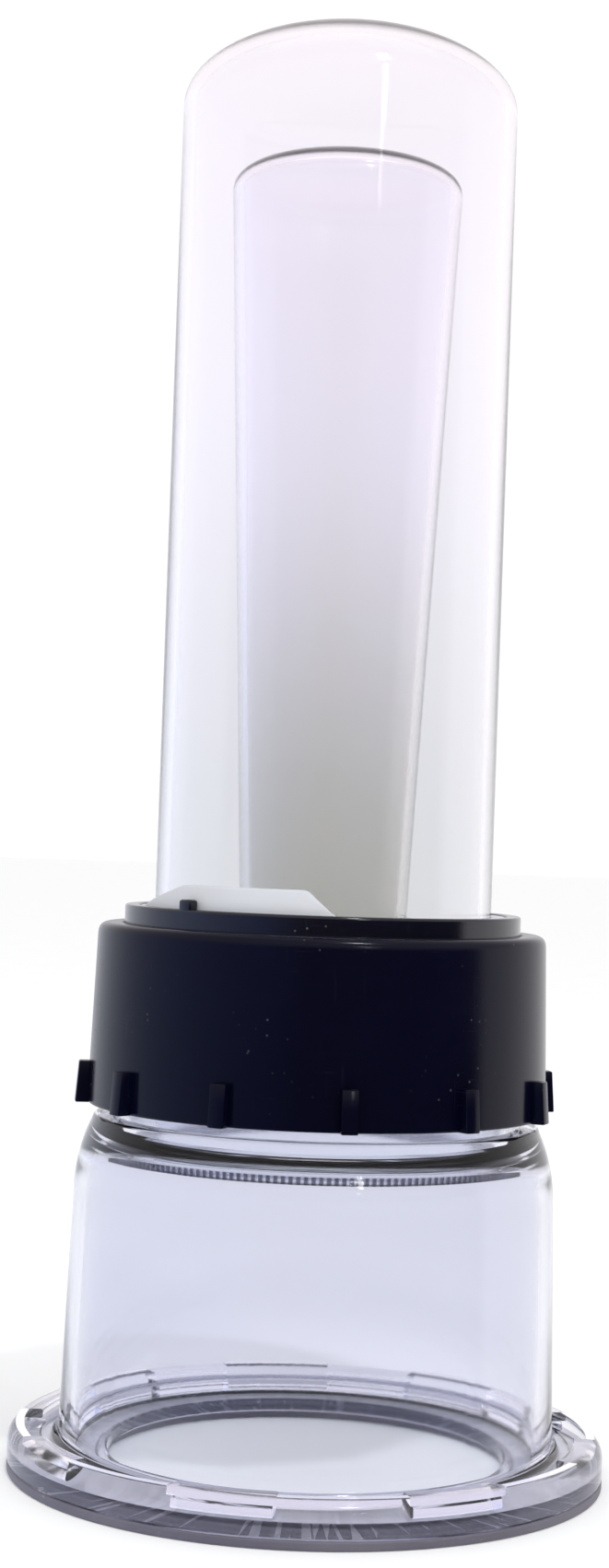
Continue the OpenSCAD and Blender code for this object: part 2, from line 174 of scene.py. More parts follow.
# geometry node trees
def newTree(name, sockets):
    tree = bpy.data.node_groups.new(name, "GeometryNodeTree")
    tree.interface.new_socket("Geometry", in_out="INPUT", socket_type="NodeSocketGeometry")
    for label, kind in sockets:
        tree.interface.new_socket(label, in_out="INPUT", socket_type=kind)
    tree.interface.new_socket("Geometry", in_out="OUTPUT", socket_type="NodeSocketGeometry")
    return tree, tree.nodes.new("NodeGroupInput"), tree.nodes.new("NodeGroupOutput")


def mathNode(tree, kind, first, second=None):
    node = tree.nodes.new("ShaderNodeMath")
    node.operation = kind
    for slot, value in enumerate((first, second)):
        if value is None:
            continue
        if isinstance(value, (int, float)):
            node.inputs[slot].default_value = value
        else:
            tree.links.new(value, node.inputs[slot])
    return node.outputs[0]


def ringOfCopiesTree():
    # copies of the incoming shape at even steps round the axis
    tree, given, out = newTree("ringOfCopies", [
        ("Copies", "NodeSocketInt"), ("First Angle", "NodeSocketFloat"),
        ("Step Angle", "NodeSocketFloat"), ("Material", "NodeSocketMaterial")])
    link = tree.links.new
    line = tree.nodes.new("GeometryNodeMeshLine")
    link(given.outputs["Copies"], line.inputs["Count"])
    line.inputs["Offset"].default_value = (0, 0, 0)
    index = tree.nodes.new("GeometryNodeInputIndex").outputs[0]
    stepped = mathNode(tree, "MULTIPLY", index, given.outputs["Step Angle"])
    angle = mathNode(tree, "RADIANS", mathNode(
        tree, "ADD", given.outputs["First Angle"], stepped))
    turn = tree.nodes.new("ShaderNodeCombineXYZ")
    link(angle, turn.inputs["Z"])
    euler = tree.nodes.new("FunctionNodeEulerToRotation")
    link(turn.outputs[0], euler.inputs[0])
    copies = tree.nodes.new("GeometryNodeInstanceOnPoints")
    link(line.outputs[0], copies.inputs["Points"])
    link(given.outputs["Geometry"], copies.inputs["Instance"])
    link(euler.outputs[0], copies.inputs["Rotation"])
    finishTree(tree, copies.outputs[0], given, out)
    return tree


def finishTree(tree, geometry, given, out):
    real = tree.nodes.new("GeometryNodeRealizeInstances")
    paint = tree.nodes.new("GeometryNodeSetMaterial")
    tree.links.new(geometry, real.inputs[0])
    tree.links.new(real.outputs[0], paint.inputs["Geometry"])
    tree.links.new(given.outputs["Material"], paint.inputs["Material"])
    tree.links.new(paint.outputs[0], out.inputs[0])


def wireClothTree():
    # woven wires across a round opening, along X and along Y
    tree, given, out = newTree("wireCloth", [
        ("Radius", "NodeSocketFloat"), ("Spacing", "NodeSocketFloat"),
        ("Wire Radius", "NodeSocketFloat"), ("Height", "NodeSocketFloat"),
        ("Material", "NodeSocketMaterial")])
    link = tree.links.new
    radius, spacing = given.outputs["Radius"], given.outputs["Spacing"]
    wires = mathNode(tree, "FLOOR", mathNode(tree, "DIVIDE",
                                             mathNode(tree, "MULTIPLY", radius, 1.96), spacing))
    line = tree.nodes.new("GeometryNodeMeshLine")
    link(wires, line.inputs["Count"])
    line.inputs["Offset"].default_value = (0, 0, 0)
    index = tree.nodes.new("GeometryNodeInputIndex").outputs[0]
    half = mathNode(tree, "MULTIPLY", mathNode(tree, "SUBTRACT", wires, 1.0), 0.5)
    across = mathNode(tree, "MULTIPLY", mathNode(tree, "SUBTRACT", index, half), spacing)
    place = tree.nodes.new("ShaderNodeCombineXYZ")
    link(across, place.inputs["X"])
    spread = tree.nodes.new("GeometryNodeSetPosition")
    link(line.outputs[0], spread.inputs["Geometry"])
    link(place.outputs[0], spread.inputs["Position"])
    chord = mathNode(tree, "SQRT", mathNode(
        tree, "SUBTRACT", mathNode(tree, "MULTIPLY", radius, radius),
        mathNode(tree, "MULTIPLY", across, across)))
    size = tree.nodes.new("ShaderNodeCombineXYZ")
    size.inputs["X"].default_value = 1
    size.inputs["Z"].default_value = 1
    link(chord, size.inputs["Y"])
    straight = tree.nodes.new("GeometryNodeCurvePrimitiveLine")
    straight.inputs["Start"].default_value = (0, -1, 0)
    straight.inputs["End"].default_value = (0, 1, 0)
    copies = tree.nodes.new("GeometryNodeInstanceOnPoints")
    link(spread.outputs[0], copies.inputs["Points"])
    link(straight.outputs[0], copies.inputs["Instance"])
    link(size.outputs[0], copies.inputs["Scale"])
    real = tree.nodes.new("GeometryNodeRealizeInstances")
    link(copies.outputs[0], real.inputs[0])
    fine = tree.nodes.new("GeometryNodeResampleCurve")
    fine.mode = "LENGTH"
    link(real.outputs[0], fine.inputs["Curve"])
    link(mathNode(tree, "MULTIPLY", spacing, 0.5), fine.inputs["Length"])
    position = tree.nodes.new("GeometryNodeInputPosition").outputs[0]
    split = tree.nodes.new("ShaderNodeSeparateXYZ")
    link(position, split.inputs[0])
    phase = mathNode(tree, "MULTIPLY", mathNode(
        tree, "DIVIDE", mathNode(tree, "ADD", split.outputs["X"], split.outputs["Y"]), spacing),
        math.pi)
    wave = mathNode(tree, "MULTIPLY", mathNode(tree, "SINE", phase), given.outputs["Wire Radius"])
    lift = tree.nodes.new("ShaderNodeCombineXYZ")
    link(wave, lift.inputs["Z"])
    woven = tree.nodes.new("GeometryNodeSetPosition")
    link(fine.outputs[0], woven.inputs["Geometry"])
    link(lift.outputs[0], woven.inputs["Offset"])
    section = tree.nodes.new("GeometryNodeCurvePrimitiveCircle")
    section.inputs["Resolution"].default_value = 4
    link(given.outputs["Wire Radius"], section.inputs["Radius"])
    solid = tree.nodes.new("GeometryNodeCurveToMesh")
    link(woven.outputs[0], solid.inputs["Curve"])
    link(section.outputs[0], solid.inputs["Profile Curve"])
    solid.inputs["Fill Caps"].default_value = True
    other = tree.nodes.new("GeometryNodeTransform")
    link(solid.outputs[0], other.inputs["Geometry"])
    other.inputs["Rotation"].default_value = (0, 0, math.pi / 2)
    both = tree.nodes.new("GeometryNodeJoinGeometry")
    link(solid.outputs[0], both.inputs[0])
    link(other.outputs[0], both.inputs[0])
    placed = tree.nodes.new("GeometryNodeTransform")
    rise = tree.nodes.new("ShaderNodeCombineXYZ")
    link(given.outputs["Height"], rise.inputs["Z"])
    link(both.outputs[0], placed.inputs["Geometry"])
    link(rise.outputs[0], placed.inputs["Translation"])
    finishTree(tree, placed.outputs[0], given, out)
    return tree


def runTree(name, mesh, tree, values):
    # puts the tree on a mesh, sets its inputs and returns the result as a plain mesh
    carrier = bpy.data.objects.new(name, mesh)
    bpy.context.scene.collection.objects.link(carrier)
    modifier = carrier.modifiers.new(tree.name, "NODES")
    modifier.node_group = tree
    for item in tree.interface.items_tree:
        if item.item_type == "SOCKET" and item.in_out == "INPUT" and item.name in values:
            modifier[item.identifier] = values[item.name]
    bpy.context.view_layer.update()
    shown = carrier.evaluated_get(bpy.context.evaluated_depsgraph_get())
    result = bpy.data.meshes.new_from_object(shown)
    carrier.modifiers.clear()
    bpy.data.objects.remove(carrier)
    return result


# shader node groups
def newGroup(name, ins, outs):
    group = bpy.data.node_groups.new(name, "ShaderNodeTree")
    for label, kind, value in ins:
        socket = group.interface.new_socket(label, in_out="INPUT", socket_type=kind)
        if value is not None:
            socket.default_value = value
    for label, kind in outs:
        group.interface.new_socket(label, in_out="OUTPUT", socket_type=kind)
    return group, group.nodes.new("NodeGroupInput"), group.nodes.new("NodeGroupOutput")


def noise(tree, vector, scale, detail=3.0, roughness=0.5):
    node = tree.nodes.new("ShaderNodeTexNoise")
    node.inputs["Detail"].default_value = detail
    node.inputs["Roughness"].default_value = roughness
    node.inputs["Scale"].default_value = scale
    tree.links.new(vector, node.inputs["Vector"])
    return node.outputs["Fac"]


def remap(tree, value, fromLow, fromHigh, toLow=0.0, toHigh=1.0, smooth=False):
    node = tree.nodes.new("ShaderNodeMapRange")
    if smooth:
        node.interpolation_type = "SMOOTHSTEP"
    for label, amount in (("From Min", fromLow), ("From Max", fromHigh),
                          ("To Min", toLow), ("To Max", toHigh)):
        if isinstance(amount, (int, float)):
            node.inputs[label].default_value = amount
        else:
            tree.links.new(amount, node.inputs[label])
    tree.links.new(value, node.inputs["Value"])
    return node.outputs["Result"]


def stretched(tree, vector, scale):
    node = tree.nodes.new("ShaderNodeMapping")
    node.inputs["Scale"].default_value = scale
    tree.links.new(vector, node.inputs["Vector"])
    return node.outputs[0]


def handlingGroup():
    # fine rub marks, soft haze and dust specks from use
    group, given, out = newGroup(
        "handling",
        [("Vector", "NodeSocketVector", None), ("Scale", "NodeSocketFloat", 1.0)],
        [("Rub", "NodeSocketFloat"), ("Haze", "NodeSocketFloat"), ("Dust", "NodeSocketFloat")])
    vector, scale = given.outputs["Vector"], given.outputs["Scale"]
    scaled = group.nodes.new("ShaderNodeVectorMath")
    scaled.operation = "SCALE"
    group.links.new(vector, scaled.inputs[0])
    group.links.new(scale, scaled.inputs["Scale"])
    base = scaled.outputs[0]
    along = noise(group, stretched(group, base, (2600, 2600, 90)), 1.0, 2.0)
    around = noise(group, stretched(group, base, (160, 160, 3400)), 1.0, 2.0)
    patches = noise(group, base, 55.0, 4.0)
    lines = mathNode(group, "MAXIMUM", remap(group, along, 0.66, 0.74),
                     remap(group, around, 0.67, 0.75))
    rub = mathNode(group, "MULTIPLY", lines, remap(group, patches, 0.42, 0.68, smooth=True))
    group.links.new(rub, out.inputs["Rub"])
    group.links.new(remap(group, noise(group, base, 24.0, 5.0, 0.6), 0.36, 0.7, smooth=True),
                    out.inputs["Haze"])
    cells = group.nodes.new("ShaderNodeTexVoronoi")
    cells.inputs["Scale"].default_value = 620.0
    group.links.new(base, cells.inputs["Vector"])
    speck = mathNode(group, "LESS_THAN", cells.outputs["Distance"], 0.11)
    sparse = remap(group, noise(group, base, 140.0, 3.0), 0.55, 0.68)
    group.links.new(mathNode(group, "MULTIPLY", speck, sparse), out.inputs["Dust"])
    return group


def mouldGroup():
    # a moulded plastic's skin: slow waviness with a fine grain on it
    group, given, out = newGroup(
        "mouldSkin", [("Vector", "NodeSocketVector", None), ("Grain", "NodeSocketFloat", 0.3),
                      ("Waves", "NodeSocketFloat", 0.5)], [("Height", "NodeSocketFloat")])
    vector = given.outputs["Vector"]
    grain = mathNode(group, "MULTIPLY", noise(group, vector, 2400.0, 2.0), given.outputs["Grain"])
    slow = noise(group, stretched(group, vector, (1, 1, 0.35)), 90.0, 1.0)
    waves = mathNode(group, "MULTIPLY", slow, given.outputs["Waves"])
    group.links.new(mathNode(group, "ADD", grain, waves), out.inputs["Height"])
    return group


def bandGroup():
    # masks by distance from the axis and by height, for edges coloured apart from the rest, such as the
    # mouth ring's edges painted dark as painted shade
    group, given, out = newGroup(
        "edgeBands", [("Vector", "NodeSocketVector", None), ("Outer From", "NodeSocketFloat", 0.04),
                      ("Outer To", "NodeSocketFloat", 0.05), ("Outer Top", "NodeSocketFloat", 0.004),
                      ("Inner From", "NodeSocketFloat", 0.03), ("Inner To", "NodeSocketFloat", 0.029)],
        [("Outer", "NodeSocketFloat"), ("Inner", "NodeSocketFloat")])
    split = group.nodes.new("ShaderNodeSeparateXYZ")
    group.links.new(given.outputs["Vector"], split.inputs[0])
    radius = mathNode(group, "SQRT", mathNode(
        group, "ADD", mathNode(group, "MULTIPLY", split.outputs["X"], split.outputs["X"]),
        mathNode(group, "MULTIPLY", split.outputs["Y"], split.outputs["Y"])))
    outer = remap(group, radius, given.outputs["Outer From"], given.outputs["Outer To"])
    below = mathNode(group, "LESS_THAN", split.outputs["Z"], given.outputs["Outer Top"])
    group.links.new(mathNode(group, "MULTIPLY", outer, below), out.inputs["Outer"])
    inner = remap(group, radius, given.outputs["Inner From"], given.outputs["Inner To"])
    group.links.new(inner, out.inputs["Inner"])
    return group


handling, mouldSkin, edgeBands = handlingGroup(), mouldGroup(), bandGroup()
print("node groups made")


# materials
def useGroup(tree, group, vector, values):
    node = tree.nodes.new("ShaderNodeGroup")
    node.node_tree = group
    tree.links.new(vector, node.inputs["Vector"])
    for label, amount in values.items():
        node.inputs[label].default_value = amount
    return node.outputs


def mixColour(tree, factor, first, second):
    node = tree.nodes.new("ShaderNodeMix")
    node.data_type = "RGBA"
    tree.links.new(factor, node.inputs[0])
    for slot, colour in ((6, first), (7, second)):
        if isinstance(colour, (tuple, list)):
            node.inputs[slot].default_value = (*colour, 1)
        else:
            tree.links.new(colour, node.inputs[slot])
    return node.outputs[2]


def startMaterial(name):
    material = bpy.data.materials.new(name)
    material.use_nodes = True
    tree = material.node_tree
    shader = tree.nodes["Principled BSDF"]
    where = tree.nodes.new("ShaderNodeTexCoord").outputs["Object"]
    return material, tree, shader, where


def setBump(tree, shader, height, strength, distance=0.0001):
    bump = tree.nodes.new("ShaderNodeBump")
    bump.inputs["Strength"].default_value = strength
    bump.inputs["Distance"].default_value = distance
    tree.links.new(height, bump.inputs["Height"])
    tree.links.new(bump.outputs[0], shader.inputs["Normal"])


def plasticMaterial(name, look):
    # opaque moulded plastic or rubber, with rub marks, haze and dust
    material, tree, shader, where = startMaterial(name)
    used = useGroup(tree, handling, where, {"Scale": look.get("wearScale", 1.0)})
    skin = useGroup(tree, mouldSkin, where, {"Grain": look.get("grain", 0.3),
                                             "Waves": look.get("waves", 0.4)})
    shade = mixColour(tree, used["Haze"], look["colour"], look.get("hazeColour", look["colour"]))
    if "bands" in look:
        # edge bands, where given, colour the rims apart from the face; on the mouth gasket the dark
        # rims are painted shade
        bands = useGroup(tree, edgeBands, where, {k: v * mm for k, v in look["bands"].items()})
        edges = mathNode(tree, "MAXIMUM", bands["Outer"], bands["Inner"])
        shade = mixColour(tree, edges, look["faceColour"], shade)
    worn = mixColour(tree, mathNode(tree, "MULTIPLY", used["Rub"], look.get("rub", 0.3)),
                     shade, look.get("rubColour", (0.5, 0.5, 0.52)))
    dusty = mixColour(tree, mathNode(tree, "MULTIPLY", used["Dust"], look.get("dust", 0.4)),
                      worn, (0.62, 0.6, 0.58))
    tree.links.new(dusty, shader.inputs["Base Color"])
    rough = mathNode(tree, "ADD", remap(tree, used["Haze"], 0.0, 1.0, look["rough"],
                                        look["rough"] + look.get("roughSpread", 0.1)),
                     mathNode(tree, "MULTIPLY", used["Rub"], 0.18))
    tree.links.new(rough, shader.inputs["Roughness"])
    shader.inputs["Specular IOR Level"].default_value = look.get("specular", 0.5)
    shader.inputs["Metallic"].default_value = look.get("metal", 0.0)
    setBump(tree, shader, skin["Height"], look.get("bump", 0.25))
    return material


def clearMaterial(name, look):
    # clear plastic with a real wall: a colour graded with height as painted shade and light, rub marks
    # and a wavy skin; each ior is under the real 1.49 or more, which keeps the outlines from going too
    # dark
    material, tree, shader, where = startMaterial(name)
    used = useGroup(tree, handling, where, {"Scale": look.get("wearScale", 1.0)})
    skin = useGroup(tree, mouldSkin, where, {"Grain": look.get("grain", 0.1),
                                             "Waves": look.get("waves", 0.6)})
    split = tree.nodes.new("ShaderNodeSeparateXYZ")
    tree.links.new(where, split.inputs[0])
    # the colour graded with height is painted shade and light, not a change in the plastic
    rise = remap(tree, split.outputs["Z"], look["footZ"] * mm, look["topZ"] * mm, smooth=True)
    tintAndPaintedShade = mixColour(tree, rise, look["footColour"], look["topColour"])
    # where given, bands by radius colour the edges; on the mouth ring these dark edges are painted
    # shade
    if "bands" in look:
        bands = useGroup(tree, edgeBands, where, {k: v * mm for k, v in look["bands"].items()})
        tintAndPaintedShade = mixColour(tree, bands["Outer"], tintAndPaintedShade, look["outerColour"])
        tintAndPaintedShade = mixColour(tree, bands["Inner"], tintAndPaintedShade, look["innerColour"])
    marks = mixColour(tree, mathNode(tree, "MULTIPLY", used["Rub"], 0.12), tintAndPaintedShade, (0.8, 0.8, 0.82))
    tree.links.new(marks, shader.inputs["Base Color"])
    rough = mathNode(tree, "ADD", remap(tree, used["Haze"], 0.0, 1.0, look["rough"],
                                        look["rough"] + look.get("roughSpread", 0.03)),
                     mathNode(tree, "MULTIPLY", used["Rub"], 0.12))
    tree.links.new(rough, shader.inputs["Roughness"])
    shader.inputs["Transmission Weight"].default_value = 1.0
    shader.inputs["Metallic"].default_value = 0.0
    shader.inputs["IOR"].default_value = look.get("ior", 1.49)
    setBump(tree, shader, skin["Height"], look.get("bump", 0.08))
    # lamps and soft light pass through, so what is inside isn't in the dark
    through = tree.nodes.new("ShaderNodeBsdfTransparent")
    through.inputs["Color"].default_value = (*look.get("through", (0.93, 0.94, 0.96)), 1)
    paths = tree.nodes.new("ShaderNodeLightPath")
    either = mathNode(tree, "MAXIMUM", paths.outputs["Is Shadow Ray"],
                      paths.outputs["Is Diffuse Ray"])
    blend = tree.nodes.new("ShaderNodeMixShader")
    tree.links.new(either, blend.inputs[0])
    tree.links.new(shader.outputs[0], blend.inputs[1])
    tree.links.new(through.outputs[0], blend.inputs[2])
    tree.links.new(blend.outputs[0], tree.nodes["Material Output"].inputs["Surface"])
    return material


# the tube's greyer foot and paler top are painted shade and light
tubeFinish = clearMaterial("tubePlastic", {
    "footZ": 80, "topZ": 175, "footColour": (0.86, 0.865, 0.87), "topColour": (0.962, 0.95, 0.975),
    "rough": 0.03, "roughSpread": 0.04, "bump": 0.06, "ior": 1.28})
# the vial's brownish grey foot and pale top are painted shade, standing for the dim room seen in and
# through it
vialFinish = clearMaterial("vialPlastic", {
    "footZ": 68, "topZ": 160, "footColour": (0.74, 0.735, 0.7), "topColour": (0.96, 0.95, 0.98),
    "rough": 0.05, "roughSpread": 0.05, "bump": 0.1, "ior": 1.28})
# the cup's pale bluish foot is painted light and its greyer top is painted shade
cupFinish = clearMaterial("cupPlastic", {
    "footZ": 7, "topZ": 20, "footColour": (0.93, 0.935, 1.0), "topColour": (0.79, 0.8, 0.87),
    "rough": 0.03, "roughSpread": 0.05, "bump": 0.1, "ior": 1.3})
# the mouth ring's dark outer and inner edge bands are painted shade, for the darkness of clear plastic
# seen edge-on
ringFinish = clearMaterial("ringPlastic", {
    "footZ": 0, "topZ": 8, "footColour": (0.95, 0.94, 0.97), "topColour": (0.95, 0.94, 0.97),
    "bands": {"Outer From": 43.1, "Outer To": 43.7, "Outer Top": 3.8,
              "Inner From": 30.1, "Inner To": 29.6},
    "outerColour": (0.4, 0.38, 0.46), "innerColour": (0.35, 0.36, 0.48),
    "rough": 0.08, "roughSpread": 0.06, "bump": 0.1, "ior": 1.22})
collarFinish = plasticMaterial("collarBlack", {
    "colour": (0.0012, 0.0014, 0.008), "hazeColour": (0.002, 0.0022, 0.011), "rough": 0.17,
    "roughSpread": 0.06, "specular": 0.12, "rub": 0.06, "dust": 0.06, "bump": 0.3,
    "rubColour": (0.1, 0.1, 0.12)})
ferruleFinish = plasticMaterial("ferruleBlack", {
    "colour": (0.0015, 0.0018, 0.007), "hazeColour": (0.003, 0.003, 0.01), "rough": 0.13,
    "roughSpread": 0.05, "specular": 0.4, "rub": 0.1, "dust": 0.25, "bump": 0.2,
    "rubColour": (0.1, 0.1, 0.12)})
retainerFinish = clearMaterial("retainerPlastic", {
    "footZ": 40, "topZ": 60, "footColour": (0.93, 0.94, 0.97), "topColour": (0.93, 0.94, 0.97),
    "bands": {"Outer From": 29.75, "Outer To": 30.0, "Outer Top": 60,
              "Inner From": 20, "Inner To": 19}, "outerColour": (0.06, 0.06, 0.09),
    "innerColour": (0.9, 0.9, 0.9), "rough": 0.12, "roughSpread": 0.1, "bump": 0.2, "ior": 1.2})
whiteFinish = plasticMaterial("wedgeWhite", {
    "colour": (0.6, 0.62, 0.66), "hazeColour": (0.54, 0.55, 0.58), "rough": 0.42,
    "rub": 0.2, "rubColour": (0.6, 0.6, 0.6), "dust": 0.5, "bump": 0.3})
strainerFinish = plasticMaterial("strainerWhite", {
    "colour": (0.72, 0.73, 0.74), "hazeColour": (0.65, 0.66, 0.66), "rough": 0.45,
    "rub": 0.2, "bump": 0.3})
seatFinish = plasticMaterial("seatWhite", {
    "colour": (0.7, 0.7, 0.7), "hazeColour": (0.62, 0.62, 0.61), "rough": 0.4, "bump": 0.3})
washerFinish = plasticMaterial("washerWhite", {
    "colour": (0.78, 0.78, 0.75), "hazeColour": (0.7, 0.69, 0.66), "rough": 0.3, "bump": 0.2})
steelFinish = plasticMaterial("screenSteel", {
    "colour": (0.5, 0.51, 0.53), "hazeColour": (0.42, 0.43, 0.45), "rough": 0.3,
    "metal": 1.0, "rub": 0.1, "bump": 0.15})
sealFinish = plasticMaterial("sealBlack", {
    "colour": (0.018, 0.018, 0.02), "hazeColour": (0.03, 0.03, 0.032), "rough": 0.62,
    "roughSpread": 0.14, "grain": 0.6, "bump": 0.4})
# the gasket's dark outer and inner rims are painted shade like the mouth ring's edges; its face is
# light grey
gasketFinish = plasticMaterial("mouthRubber", {
    "colour": (0.11, 0.103, 0.135), "hazeColour": (0.15, 0.142, 0.175), "rough": 0.5,
    "roughSpread": 0.2, "grain": 0.6, "rub": 0.25, "dust": 0.5, "bump": 0.45,
    "faceColour": (0.66, 0.65, 0.7),
    "bands": {"Outer From": 42.6, "Outer To": 43.4, "Outer Top": 3.0,
              "Inner From": 31.3, "Inner To": 31.0}})
print("materials made")


# the sample tube: clear, domed, open at its foot
tubeSizes = {"wall": 1.8, "domeRise": 12, "lipRounding": 0.5, "steps": 192}


def buildTube():
    s = tubeSizes
    outer, foot, apex = wide("sample_tube"), low("sample_tube"), high("sample_tube")
    inner, domeFoot = outer - s["wall"], apex - s["domeRise"]
    profile = rounded([(inner, foot, s["lipRounding"]), (outer, foot, s["lipRounding"]),
                       (outer, domeFoot), (inner, domeFoot)])
    edge = profile[:-2]
    points = (edge + ellipseArc(outer, domeFoot, s["domeRise"], 32)
              + ellipseArc(inner, domeFoot, s["domeRise"] - s["wall"], 32, fromTop=True))
    mesh = sweptRing("tubeMesh", [360 * i / s["steps"] for i in range(s["steps"])],
                     lambda angle: points)
    piece = addPiece("sampleTube", mesh, tubeFinish)
    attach(piece, "tube")
    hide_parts("sample_tube")


# the inner vial: a neck with a bead, then a long cone with a rounded end
vialSizes = {"wall": 1.4, "neckRadius": 12.2, "beadFoot": 75.0, "beadHeight": 1.6,
             "beadReach": 2.0, "coneFoot": 77.6, "endRise": 5.6, "endFullness": 2.5,
             "steps": 160}


def buildVial():
    s = vialSizes
    wideR, mouth, top = wide("inner_vial"), low("inner_vial"), high("inner_vial")
    neck, wall = s["neckRadius"], s["wall"]
    bead = neck + s["beadReach"]
    coneTop = top - s["endRise"]
    outside = rounded([(neck - wall, mouth, 0.4), (neck, mouth, 0.4),
                       (neck, s["beadFoot"], 0.3), (bead, s["beadFoot"], 0.6),
                       (bead, s["beadFoot"] + s["beadHeight"], 0.6),
                       (neck, s["beadFoot"] + s["beadHeight"], 0.3), (neck, s["coneFoot"], 2.5),
                       (wideR, coneTop), (neck - wall, coneTop)])[:-2]
    inside = [(neck - wall, s["coneFoot"] + wall), (neck - wall, s["coneFoot"] - 2)]
    full = s["endFullness"]
    points = (outside + ellipseArc(wideR, coneTop, s["endRise"], 28, fullness=full)
              + ellipseArc(wideR - wall, coneTop, s["endRise"] - wall, 28, True, full) + inside)
    mesh = sweptRing("vialMesh", [360 * i / s["steps"] for i in range(s["steps"])],
                     lambda angle: points)
    piece = addPiece("innerVial", mesh, vialFinish)
    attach(piece, "vial")
    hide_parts("inner_vial")


# the catch cup: threaded neck, shoulder, drafted side, foot with lugs
cupSizes = {"wall": 2.2, "sideFoot": 36.51, "sideTop": 35.53, "sideTopZ": 41.0,
            "shoulderCurve": 24.0, "shoulderZ": 52.2, "rimRounding": 0.8, "roofZ": 49.3,
            "rootRadius": 30.11, "crestRadius": 30.91, "boreRadius": 27.81, "ledgeRadius": 24.81,
            "ledgeZ": 58.9, "footHeight": 1.4, "footRadius": 39.21, "fillet": 1.2,
            "lugs": 8, "lugAngle": 19.5, "lugTurn": 7.5, "lugReach": 3.0, "lugEdge": 0.25,
            "roofCurve": 5.0, "threadPitch": 3.0, "threadStart": 55.3, "ridgeHalf": 1.05,
            "crestHalf": 0.4, "flatHalf": 0.15, "crestEdge": 0.1, "neckEdge": 0.3, "steps": 192}


def castellated(count, width, turn, base=192, edge=0.12):
    # angles for a ring whose section changes at each lug's ends, and a test for being in a lug;
    # even steps that fall too close to an end are left out
    marks = set(round(360 * i / base, 4) for i in range(base))
    for i in range(count):
        middle = turn + 360 * i / count
        for end in (middle - width / 2, middle + width / 2):
            for angle in (end - edge, end + edge):
                marks.add(round(angle % 360, 4))
            marks = {m for m in marks if abs((m - end + 180) % 360 - 180) > edge * 0.9
                     or abs(abs((m - end + 180) % 360 - 180) - edge) < 0.002}

    def isIn(angle):
        return any(abs((angle - turn - 360 * i / count + 180) % 360 - 180) < width / 2
                   for i in range(count))
    return sorted(marks), isIn


def buildCup():
    s = cupSizes
    foot, top = low("catch_cup"), high("catch_cup")
    lugR = max(wide("catch_cup"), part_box("catch_cup")[1].y / mm, s["footRadius"] + s["lugReach"])
    inFoot, inTop = s["sideFoot"] - s["wall"], s["sideTop"] - s["wall"]
    curveX = s["sideTop"] - s["shoulderCurve"]
    soft = s["rimRounding"]
    last = math.asin((s["shoulderZ"] - soft - s["sideTopZ"]) / s["shoulderCurve"])
    shoulder = [(curveX + s["shoulderCurve"] * math.cos(last * k / 14),
                 s["sideTopZ"] + s["shoulderCurve"] * math.sin(last * k / 14)) for k in range(15)]
    edgeX = shoulder[-1][0]
    rim = cornerArc(edgeX - soft, s["shoulderZ"] - soft, soft, (30, 50, 70, 90))
    root, crest, edge = s["rootRadius"], s["crestRadius"], s["neckEdge"]
    neck = [(root, s["shoulderZ"])]
    z = s["threadStart"]
    while z + s["threadPitch"] < top - edge:
        middle = z + s["threadPitch"] / 2
        neck += [(root, middle - s["ridgeHalf"]),
                 (crest - s["crestEdge"], middle - s["crestHalf"]),
                 (crest, middle - s["flatHalf"]), (crest, middle + s["flatHalf"]),
                 (crest - s["crestEdge"], middle + s["crestHalf"]),
                 (root, middle + s["ridgeHalf"])]
        z += s["threadPitch"]
    neck += [(root, top - edge), (root - edge, top)]
    inner = [(s["ledgeRadius"] + edge, top), (s["ledgeRadius"], top - edge),
             (s["ledgeRadius"], s["ledgeZ"]), (s["boreRadius"], s["ledgeZ"]),
             (s["boreRadius"], s["roofZ"] + 0.4), (s["boreRadius"] + 0.4, s["roofZ"])]
    bend = s["roofCurve"]
    roof = cornerArc(inTop - bend, s["roofZ"] - bend, bend, range(90, -1, -9))
    tail = [(inFoot, foot + edge), (inFoot + edge, foot)]
    fillet = [(s["sideFoot"] + s["fillet"] * (1 - math.sin(math.radians(a))),
               foot + s["footHeight"] + s["fillet"] * (1 - math.cos(math.radians(a))))
              for a in range(0, 91, 15)]
    angles, inLug = castellated(s["lugs"], s["lugAngle"], s["lugTurn"] + 180 / s["lugs"], s["steps"])

    def section(angle):
        reach = lugR if inLug(angle) else s["footRadius"]
        footTop, soften = foot + s["footHeight"], s["lugEdge"]
        side = [(reach - soften, foot), (reach, foot + soften), (reach, footTop - soften),
                (reach - soften, footTop)]
        return side + fillet + shoulder + rim + neck + inner + roof + tail
    piece = addPiece("catchCup", sweptRing("cupMesh", angles, section), cupFinish)
    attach(piece, "cup")
    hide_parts("catch_cup")


# the mouth ring: rim, hooks over the cup's lugs, pockets between them, gasket under
ringSizes = {"opening": 29.51, "floorTop": 3.4, "rimRounding": 2.4, "chamfer": 0.4,
             "pocketRadius": 42.51, "hookRadius": 39.51, "hookZ": 5.35, "pockets": 8,
             "pocketAngle": 24.5, "pocketTurn": 7.5, "grooveIn": 34.41, "grooveOut": 36.41,
             "grooveDepth": 0.8, "steps": 192, "gasketOpening": 30.71}


